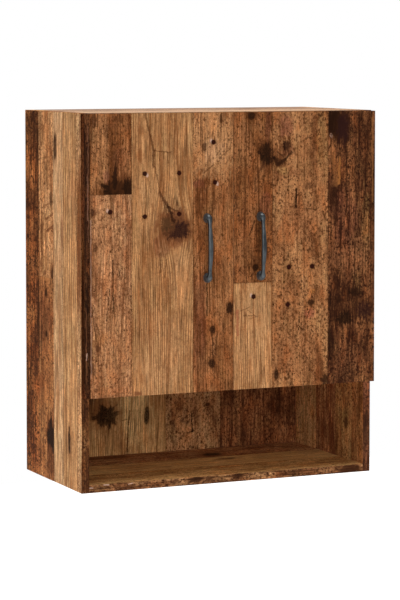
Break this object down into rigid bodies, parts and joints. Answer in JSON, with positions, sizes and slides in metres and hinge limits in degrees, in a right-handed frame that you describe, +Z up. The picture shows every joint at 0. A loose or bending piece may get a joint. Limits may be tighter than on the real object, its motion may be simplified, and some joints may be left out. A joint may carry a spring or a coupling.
{
  "type": "wall cabinet",
  "caption": "Wall-hung storage cabinet with hinged doors and bow handles above an open niche, a loose inner shelf on pins, a nailed back sheet and a hanging rail.",
  "frame": {"origin": "on the back face, midway between the two wall-screw holes", "axes": "+X to the viewer's right seen from the front, +Y backwards into the wall, +Z up; the doors face -Y"},
  "size_m": [0.6, 0.332, 0.7],
  "materials": {
    "carcass_board": "satin printed board, aged planks",
    "door_board": "satin printed board, aged planks",
    "back_sheet": "satin printed sheet",
    "dowel_wood": "plain",
    "zinc_steel": "zinc plated",
    "hinge_steel": "nickel plated",
    "handle_metal": "dark blue-grey, slightly worn"
  },
  "bodies": {
    "cabinet": {"side_panel_left": "carcass_board", "side_panel_right": "carcass_board", "top_panel": "carcass_board", "bottom_panel": "carcass_board", "divider_shelf": "carcass_board", "loose_shelf": "carcass_board", "back_panel": "back_sheet", "hanging_rail": "carcass_board", "shelf_pins": "zinc_steel", "back_nails": "zinc_steel", "cam_locks": "zinc_steel", "cam_bolts": "zinc_steel", "dowels": "dowel_wood", "hinge_plates_left": "hinge_steel", "hinge_plates_right": "hinge_steel", "plate_screws": "zinc_steel", "hinge_arms_left": "hinge_steel", "hinge_arms_right": "hinge_steel", "arm_screws": "zinc_steel"},
    "left_door": {"door_left": "door_board", "hinge_cups_left": "hinge_steel", "hinge_pins_left": "zinc_steel", "cup_screws_left": "zinc_steel", "handle_left": "handle_metal", "handle_screws_left": "zinc_steel"},
    "right_door": {"door_right": "door_board", "hinge_cups_right": "hinge_steel", "hinge_pins_right": "zinc_steel", "cup_screws_right": "zinc_steel", "handle_right": "handle_metal", "handle_screws_right": "zinc_steel"}
  },
  "joints": [
    {"name": "left_door_swing", "type": "hinge", "parent": "cabinet", "child": "left_door", "pos_m": [-0.2938, -0.3041, -0.2067], "axis": [0, 0, -1], "range_deg": [0, 95]},
    {"name": "right_door_swing", "type": "hinge", "parent": "cabinet", "child": "right_door", "pos_m": [0.2938, -0.3041, -0.2067], "axis": [0, 0, 1], "range_deg": [0, 95]}
  ]
}
